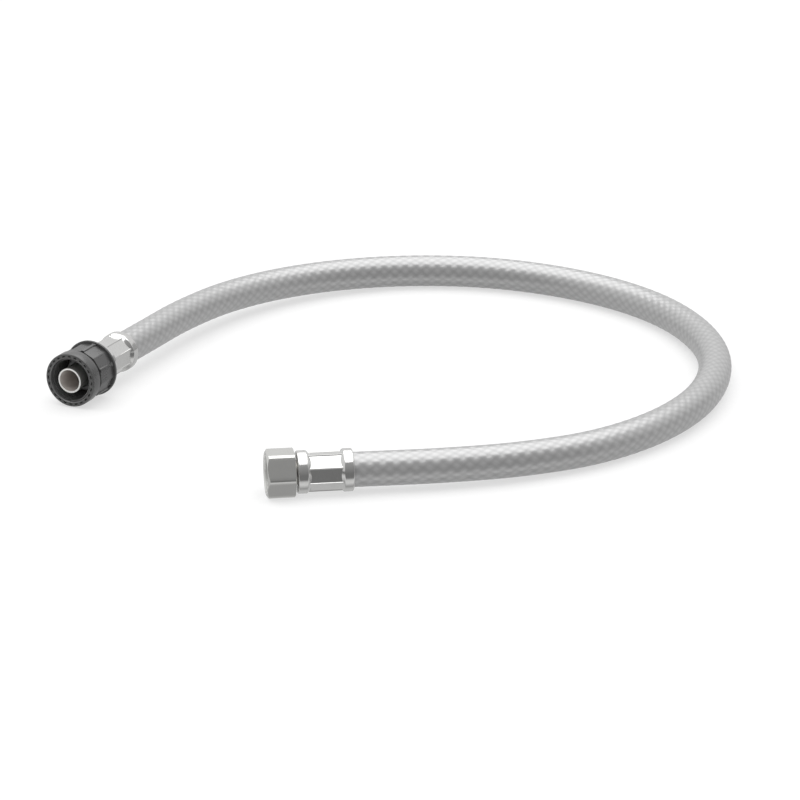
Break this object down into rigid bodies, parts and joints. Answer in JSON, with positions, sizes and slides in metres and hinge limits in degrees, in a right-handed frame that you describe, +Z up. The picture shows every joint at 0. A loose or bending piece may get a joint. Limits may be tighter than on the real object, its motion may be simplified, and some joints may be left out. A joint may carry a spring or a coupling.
{
  "type": "flexible connector hose",
  "caption": "Braided flexible connector hose in an open loop, with crimped ferrules, a plated hexagonal union nut at one end and a black hand nut round a tube end at the other.",
  "frame": {"origin": "on the floor, below the centre of the box that holds the two end fittings; the hose between them is left out of that box", "axes": "+Z up from the floor that the hose lies on; the front nut faces -X and its hose leaves along +X; the loop lies on the floor towards +X and +Y"},
  "size_m": [0.3116, 0.2916, 0.0255],
  "materials": {
    "braided_hose": "silver-grey braid under a glossy clear cover",
    "nickel_plate": "nickel plated, satin bright",
    "plated_brass": "turned, plain",
    "ferrule_steel": "bright pressed stainless steel",
    "tube_steel": "drawn tube, bright",
    "black_plastic": "moulded, satin",
    "seal_rubber": "matt"
  },
  "bodies": {
    "hose_with_ends": {"hose": "braided_hose", "front_stem": "plated_brass", "front_gasket": "seal_rubber", "front_ferrule": "ferrule_steel", "rear_stem": "tube_steel", "rear_seal": "seal_rubber", "rear_ferrule": "ferrule_steel"},
    "front_nut": {"front_union_nut": "nickel_plate"},
    "rear_nut": {"rear_union_nut": "black_plastic"}
  },
  "joints": [
    {"name": "front_nut_spin", "type": "hinge", "parent": "hose_with_ends", "child": "front_nut", "pos_m": [0.024, -0.077, 0.0095], "axis": [1, 0, 0], "continuous": true},
    {"name": "rear_nut_spin", "type": "hinge", "parent": "hose_with_ends", "child": "rear_nut", "pos_m": [-0.0505, 0.0437, 0.01275], "axis": [0.5563, 0.831, 0], "continuous": true}
  ]
}
